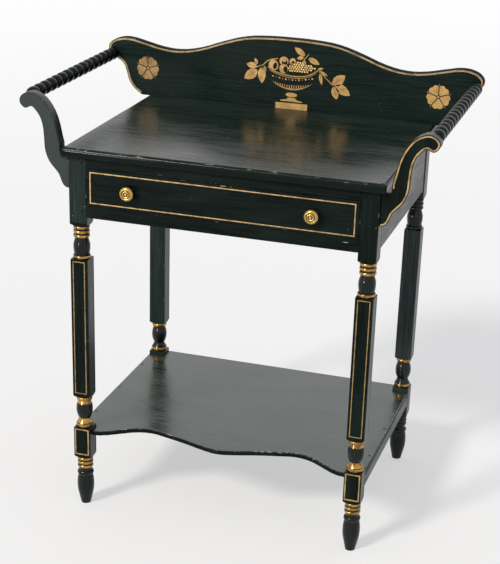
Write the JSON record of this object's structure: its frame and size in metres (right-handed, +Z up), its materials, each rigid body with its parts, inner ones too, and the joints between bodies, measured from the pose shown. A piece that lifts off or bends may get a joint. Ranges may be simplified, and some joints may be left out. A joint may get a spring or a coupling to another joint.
{
  "type": "washstand",
  "caption": "Black-painted washstand with turned legs, a scrolled backboard, ring-turned towel bars on S-scroll brackets, a drawer with brass knobs and a low shelf with a serpentine front.",
  "frame": {"origin": "on the floor, under the middle of the bounding box", "axes": "+Z up, +X to the viewer's right, and -Y out of the drawer's front"},
  "size_m": [0.8082, 0.49, 0.9115],
  "materials": {
    "black_paint": "aged black-green paint with gold bands, stripes and stencils",
    "bare_pine": "planed and unpainted, darkened with age",
    "brass": "turned, with a handled shine",
    "iron": "dark and dull"
  },
  "bodies": {
    "case": {"back_apron": "black_paint", "backboard": "black_paint", "backboard_dowel_left": "bare_pine", "backboard_dowel_middle": "bare_pine", "backboard_dowel_right": "bare_pine", "bracket_screw_left_lower": "iron", "bracket_screw_left_upper": "iron", "bracket_screw_right_lower": "iron", "bracket_screw_right_upper": "iron", "drawer_stop_left": "bare_pine", "drawer_stop_right": "bare_pine", "front_lower_rail": "black_paint", "front_upper_rail": "black_paint", "glue_block_back_left": "bare_pine", "glue_block_back_right": "bare_pine", "glue_block_front_left": "bare_pine", "glue_block_front_right": "bare_pine", "guide_left": "bare_pine", "guide_right": "bare_pine", "kicker_left": "bare_pine", "kicker_right": "bare_pine", "leg_back_left": "black_paint", "leg_back_right": "black_paint", "leg_front_left": "black_paint", "leg_front_right": "black_paint", "peg_left_lower": "black_paint", "peg_left_upper": "black_paint", "peg_right_lower": "black_paint", "peg_right_upper": "black_paint", "runner_left": "bare_pine", "runner_right": "bare_pine", "scroll_bracket_left": "black_paint", "scroll_bracket_right": "black_paint", "shelf": "black_paint", "shelf_nail_left_1": "iron", "shelf_nail_left_2": "iron", "shelf_nail_left_3": "iron", "shelf_nail_right_1": "iron", "shelf_nail_right_2": "iron", "shelf_nail_right_3": "iron", "shelf_rail_left": "black_paint", "shelf_rail_right": "black_paint", "side_apron_left": "black_paint", "side_apron_right": "black_paint", "top_board": "black_paint", "towel_bar_left": "black_paint", "towel_bar_right": "black_paint"},
    "drawer": {"drawer_back": "bare_pine", "drawer_bottom": "bare_pine", "drawer_front": "black_paint", "drawer_nail_left": "iron", "drawer_nail_right": "iron", "drawer_side_left": "bare_pine", "drawer_side_right": "bare_pine", "knob_left": "brass", "knob_nut_left": "iron", "knob_nut_right": "iron", "knob_right": "brass"}
  },
  "joints": [
    {"name": "drawer_slide", "type": "slide", "parent": "case", "child": "drawer", "axis": [0, -1, 0], "range_m": [0, 0.28]}
  ]
}
